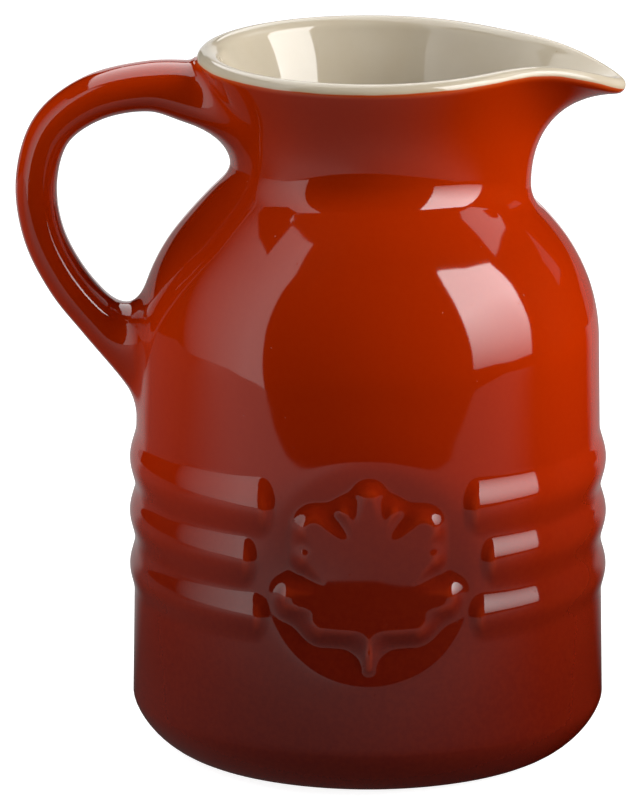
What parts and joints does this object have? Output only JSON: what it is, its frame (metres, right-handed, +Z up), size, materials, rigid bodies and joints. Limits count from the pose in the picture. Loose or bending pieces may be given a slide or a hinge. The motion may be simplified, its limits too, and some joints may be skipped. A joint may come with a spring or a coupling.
{
  "type": "syrup jug",
  "caption": "Glazed stoneware syrup jug with a pouring lip, a loop handle, raised ribs and a round medallion with a leaf; empty and open at the top.",
  "frame": {"origin": "centre of the flat base, on the body's axis, on the plane that the jug stands on", "axes": "+Z up along the body's axis, +X towards the pouring lip, -X towards the handle, -Y towards the medallion"},
  "size_m": [0.1199, 0.0946, 0.14],
  "materials": {
    "red_glaze": "glossy orange-red glaze that darkens to maroon towards the base"
  },
  "bodies": {
    "root": {"jug": "red_glaze"}
  },
  "joints": []
}
